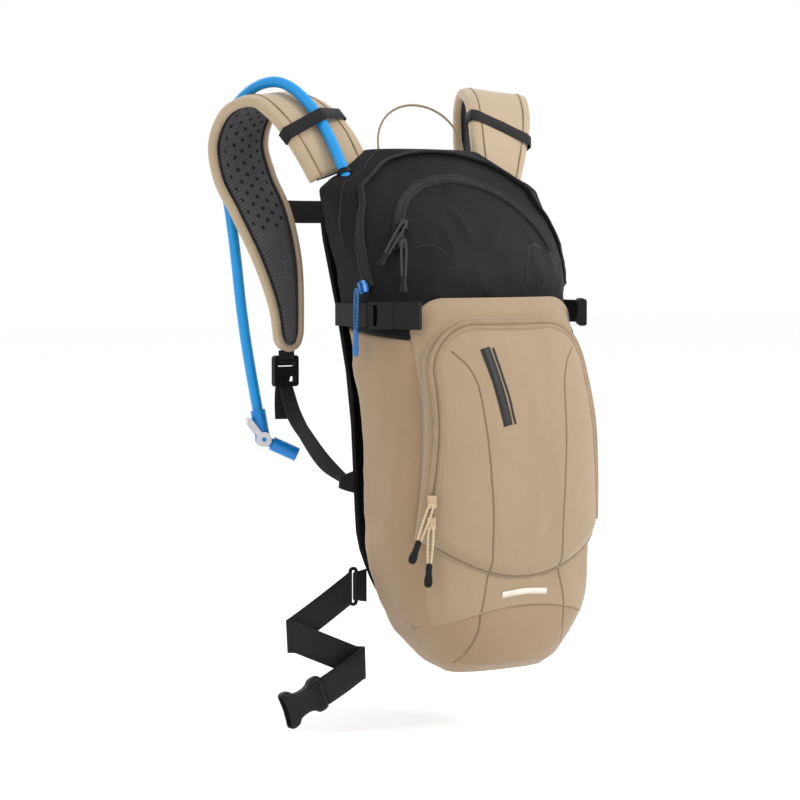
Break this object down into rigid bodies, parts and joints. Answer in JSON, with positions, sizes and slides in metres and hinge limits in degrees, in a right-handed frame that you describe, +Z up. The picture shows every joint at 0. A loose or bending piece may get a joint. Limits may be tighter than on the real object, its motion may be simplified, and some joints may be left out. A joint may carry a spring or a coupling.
{
  "type": "hydration pack",
  "caption": "Slim hydration backpack with a zipped front pocket, mesh shoulder straps, waist and chest buckles, and a water reservoir with drinking tube and bite valve.",
  "frame": {"origin": "bearing point under the top of the haul loop, on the pack's centre plane", "axes": "+Z up, +X to the wearer's right, +Y toward the wearer, so the zipped front faces -Y"},
  "size_m": [0.3639, 0.2594, 0.5441],
  "materials": {
    "tan_fabric": "matte woven",
    "tan_side_fabric": "matte woven",
    "black_fabric": "matte ripstop",
    "mesh_fabric": "open air mesh",
    "strap_fabric": "matte woven with bound edge",
    "lining_fabric": "smooth lining",
    "zip_black": "coil zip",
    "zip_tan": "coated zip",
    "black_webbing": "ribbed webbing",
    "tan_webbing": "ribbed webbing",
    "black_plastic": "moulded, fine grain",
    "tan_tips": "moulded grip",
    "slider_metal": "satin coated",
    "tan_slider": "satin coated",
    "blue_slider": "satin coated",
    "blue_cord": "braided cord",
    "black_cord": "braided cord",
    "tan_cord": "braided cord",
    "blue_tube": "clear-tinted soft tube",
    "blue_valve": "soft moulded",
    "grey_lever": "moulded",
    "clear_film": "soft film",
    "blue_fitting": "moulded"
  },
  "bodies": {
    "pack": {"back_panel": "black_fabric", "back_pads": "mesh_fabric", "upper_shell": "black_fabric", "lower_shell": "tan_side_fabric", "stash_panel": "tan_fabric", "front_pocket": "tan_fabric", "reservoir_divider": "lining_fabric", "reservoir_bag": "clear_film", "bag_fittings": "blue_fitting", "hose_coupler": "blue_fitting", "inner_tube": "blue_tube", "tube_exit_port": "black_plastic", "black_zippers": "zip_black", "pocket_zipper": "zip_tan", "strap_anchor_tabs": "black_fabric", "compression_sockets": "black_plastic", "compression_webbing_left": "black_webbing", "compression_webbing_right": "black_webbing", "belt_tabs": "black_webbing", "haul_loop": "tan_webbing"},
    "cap": {"reservoir_cap": "blue_fitting"},
    "button": {"coupler_button": "blue_fitting"},
    "harness": {"strap_shell_left": "strap_fabric", "strap_shell_right": "strap_fabric", "strap_mesh_left": "mesh_fabric", "strap_mesh_right": "mesh_fabric", "tube_bands": "black_webbing", "ladder_locks": "black_plastic", "lower_webbing_left": "black_webbing", "lower_webbing_right": "black_webbing", "sternum_webbing_left": "black_webbing", "sternum_webbing_right": "black_webbing", "sternum_socket": "black_plastic", "drinking_tube": "blue_tube", "valve_elbow": "blue_valve", "bite_valve": "blue_valve"},
    "lever": {"shutoff_lever": "grey_lever"},
    "sternum_plug": {"sternum_plug": "black_plastic"},
    "compression_plug_left": {"compression_plug_left": "black_plastic"},
    "compression_plug_right": {"compression_plug_right": "black_plastic"},
    "belt_left": {"belt_webbing_left": "black_webbing", "belt_socket": "black_plastic"},
    "belt_right": {"belt_webbing_right": "black_webbing", "belt_plug": "black_plastic"},
    "reservoir_slider": {"reservoir_slider": "blue_slider"},
    "reservoir_pull": {"reservoir_cord": "blue_cord", "reservoir_tip": "blue_fitting"},
    "main_upper_slider": {"main_upper_slider": "slider_metal"},
    "main_upper_pull": {"main_upper_cord": "black_cord", "main_upper_tip": "tan_tips"},
    "main_lower_slider": {"main_lower_slider": "slider_metal"},
    "main_lower_pull": {"main_lower_cord": "black_cord", "main_lower_tip": "tan_tips"},
    "pocket_upper_slider": {"pocket_upper_slider": "tan_slider"},
    "pocket_upper_pull": {"pocket_upper_cord": "tan_cord", "pocket_upper_tip": "tan_tips"},
    "pocket_lower_slider": {"pocket_lower_slider": "tan_slider"},
    "pocket_lower_pull": {"pocket_lower_cord": "tan_cord", "pocket_lower_tip": "tan_tips"}
  },
  "joints": [
    {"name": "harness_swing", "type": "hinge", "parent": "pack", "child": "harness", "pos_m": [0, 0, -0.053], "axis": [1, 0, 0], "range_deg": [-8, 15], "deforming": ["drinking_tube", "lower_webbing_left", "lower_webbing_right"]},
    {"name": "shutoff_lever_turn", "type": "hinge", "parent": "harness", "child": "lever", "pos_m": [-0.11743, 0.07203, -0.29058], "axis": [-0.4473, -0.8934, 0.0415], "range_deg": [0, 75]},
    {"name": "cap_turn", "type": "hinge", "parent": "pack", "child": "cap", "pos_m": [0, -0.06, -0.216], "axis": [0, -1, 0], "range_deg": [0, 90]},
    {"name": "button_press", "type": "slide", "parent": "pack", "child": "button", "axis": [0, 1, 0], "range_m": [0, 0.002], "stiffness_N_per_m": 400},
    {"name": "reservoir_slide", "type": "slide", "parent": "pack", "child": "reservoir_slider", "axis": [0, 0.3731, 0.9278], "range_m": [0, 0.04]},
    {"name": "reservoir_pull_swing", "type": "hinge", "parent": "reservoir_slider", "child": "reservoir_pull", "pos_m": [-0.1194, -0.07256, -0.15739], "axis": [0, 0.9999, 0.0172], "range_deg": [0, 60]},
    {"name": "main_upper_slide", "type": "slide", "parent": "pack", "child": "main_upper_slider", "axis": [0.4432, 0.4502, 0.7752], "range_m": [0, 0.016]},
    {"name": "main_upper_pull_swing", "type": "hinge", "parent": "main_upper_slider", "child": "main_upper_pull", "pos_m": [-0.07533, -0.08056, -0.10137], "axis": [-0.6651, 0.5865, 0.4623], "range_deg": [0, 60]},
    {"name": "main_lower_slide", "type": "slide", "parent": "pack", "child": "main_lower_slider", "axis": [0.4432, 0.4502, 0.7752], "range_m": [-0.004, 0.004]},
    {"name": "main_lower_pull_swing", "type": "hinge", "parent": "main_lower_slider", "child": "main_lower_pull", "pos_m": [-0.08333, -0.08956, -0.11737], "axis": [-0.9154, 0.3902, 0.0993], "range_deg": [0, 60]},
    {"name": "pocket_upper_slide", "type": "slide", "parent": "pack", "child": "pocket_upper_slider", "axis": [-0.0033, 0.0027, 1], "range_m": [0, 0.05]},
    {"name": "pocket_upper_pull_swing", "type": "hinge", "parent": "pocket_upper_slider", "child": "pocket_upper_pull", "pos_m": [-0.09503, -0.14447, -0.3315], "axis": [-0.7336, 0.5948, 0.3288], "range_deg": [0, 60]},
    {"name": "pocket_lower_slide", "type": "slide", "parent": "pack", "child": "pocket_lower_slider", "axis": [-0.0033, 0.0027, 1], "range_m": [-0.004, 0.001]},
    {"name": "pocket_lower_pull_swing", "type": "hinge", "parent": "pocket_lower_slider", "child": "pocket_lower_pull", "pos_m": [-0.09553, -0.14447, -0.3495], "axis": [-0.7754, 0.6287, 0.0583], "range_deg": [0, 60]},
    {"name": "sternum_release", "type": "slide", "parent": "harness", "child": "sternum_plug", "axis": [1, 0, 0], "range_m": [0, 0.022], "deforming": ["sternum_webbing_right"]},
    {"name": "compression_release_left", "type": "slide", "parent": "pack", "child": "compression_plug_left", "axis": [-0.6, 0.8, 0], "range_m": [0, 0.007], "deforming": ["compression_webbing_left"]},
    {"name": "compression_release_right", "type": "slide", "parent": "pack", "child": "compression_plug_right", "axis": [0.6, 0.8, 0], "range_m": [0, 0.014], "deforming": ["compression_webbing_right"]},
    {"name": "belt_swing_left", "type": "hinge", "parent": "pack", "child": "belt_left", "pos_m": [-0.1005, -0.047, -0.408], "axis": [0, 0, 1], "range_deg": [-60, 10]},
    {"name": "belt_swing_right", "type": "hinge", "parent": "pack", "child": "belt_right", "pos_m": [0.1005, -0.047, -0.408], "axis": [0, 0, 1], "range_deg": [-75, 0]}
  ]
}
